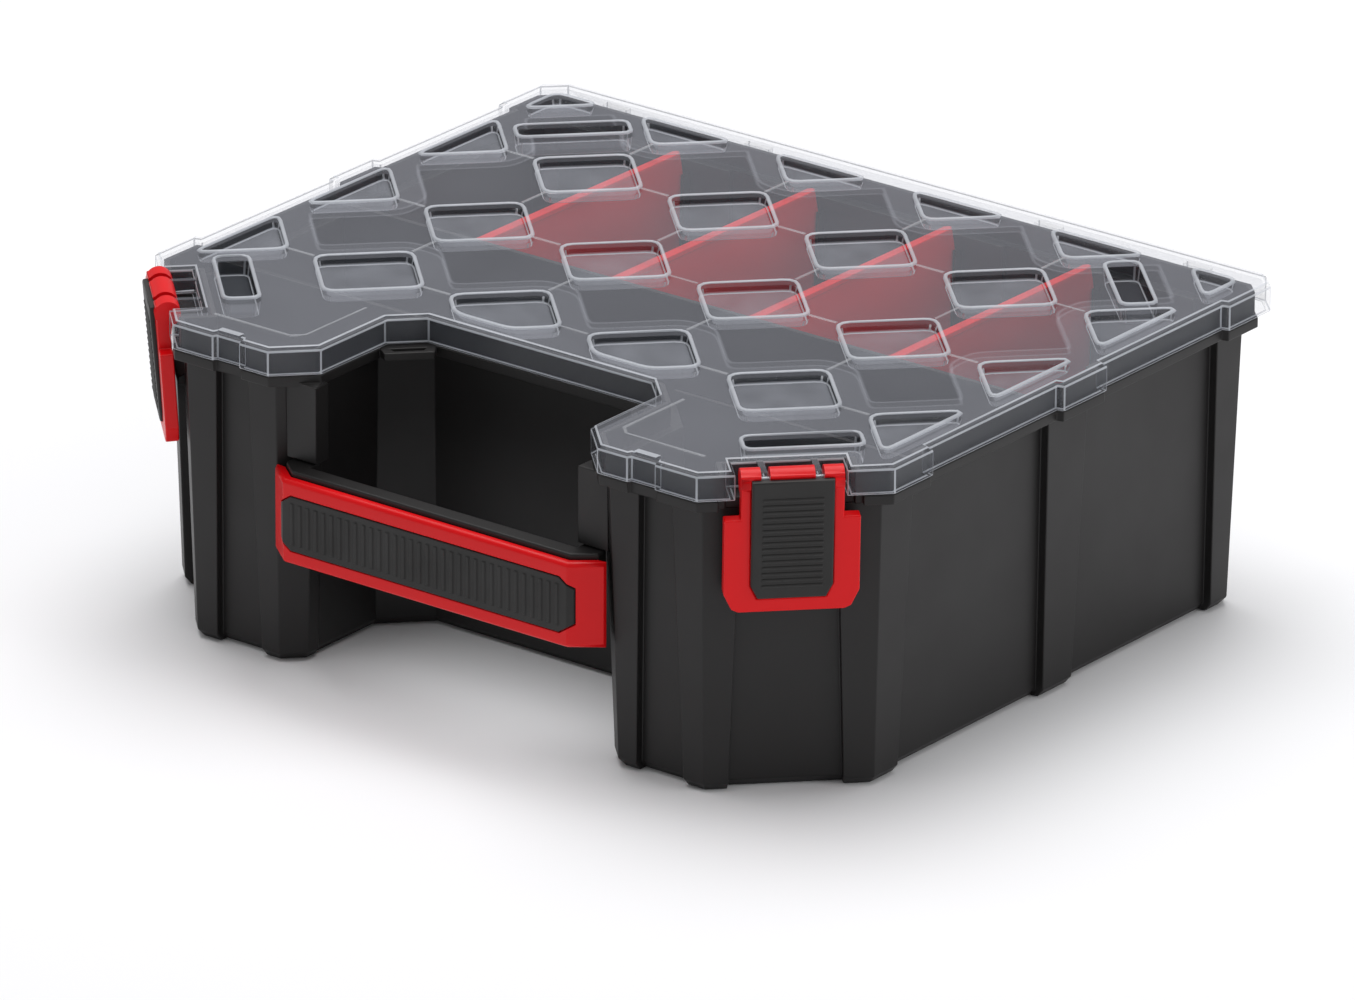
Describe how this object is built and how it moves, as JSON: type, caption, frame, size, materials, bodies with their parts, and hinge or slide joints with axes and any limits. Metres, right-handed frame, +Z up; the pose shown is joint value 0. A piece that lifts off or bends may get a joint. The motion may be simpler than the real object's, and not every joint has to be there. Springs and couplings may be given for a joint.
{
  "type": "parts organizer",
  "caption": "Low compartment case with a notched handle front, a clear hinged lid, pivoting corner latches and lift-out dividers for sorting small parts.",
  "frame": {"origin": "centre of the bounding box's bottom face, on the surface the case stands on", "axes": "+X along the handle to the right-hand latch, +Y from the handle to the lid's hinges, +Z up"},
  "size_m": [0.352, 0.301, 0.1318],
  "materials": {
    "case_plastic": "satin black moulding",
    "lid_clear": "clear moulding",
    "red_plastic": "satin red moulding",
    "grip_rubber": "matt",
    "pin_steel": "plain"
  },
  "bodies": {
    "case": {"case_body": "case_plastic", "hinge_pin_1": "pin_steel", "hinge_pin_2": "pin_steel", "hinge_pin_3": "pin_steel", "hinge_pin_4": "pin_steel", "handle_shell": "red_plastic", "handle_bar": "case_plastic", "handle_grip": "grip_rubber", "divider_1": "red_plastic", "divider_2": "red_plastic", "divider_3": "red_plastic", "divider_4": "red_plastic"},
    "lid": {"lid": "lid_clear"},
    "latch_left": {"latch_frame_left": "red_plastic", "latch_grip_left": "grip_rubber", "latch_pin_left": "pin_steel"},
    "latch_right": {"latch_frame_right": "red_plastic", "latch_grip_right": "grip_rubber", "latch_pin_right": "pin_steel"}
  },
  "joints": [
    {"name": "lid_hinge", "type": "hinge", "parent": "case", "child": "lid", "pos_m": [0, 0.1455, 0.1196], "axis": [-1, 0, 0], "range_deg": [0, 110]},
    {"name": "latch_left_pivot", "type": "hinge", "parent": "lid", "child": "latch_left", "pos_m": [-0.1492, -0.12105, 0.1268], "axis": [-0.7071, 0.7071, 0], "range_deg": [0, 90]},
    {"name": "latch_right_pivot", "type": "hinge", "parent": "lid", "child": "latch_right", "pos_m": [0.1492, -0.12105, 0.1268], "axis": [-0.7071, -0.7071, 0], "range_deg": [0, 90]}
  ]
}
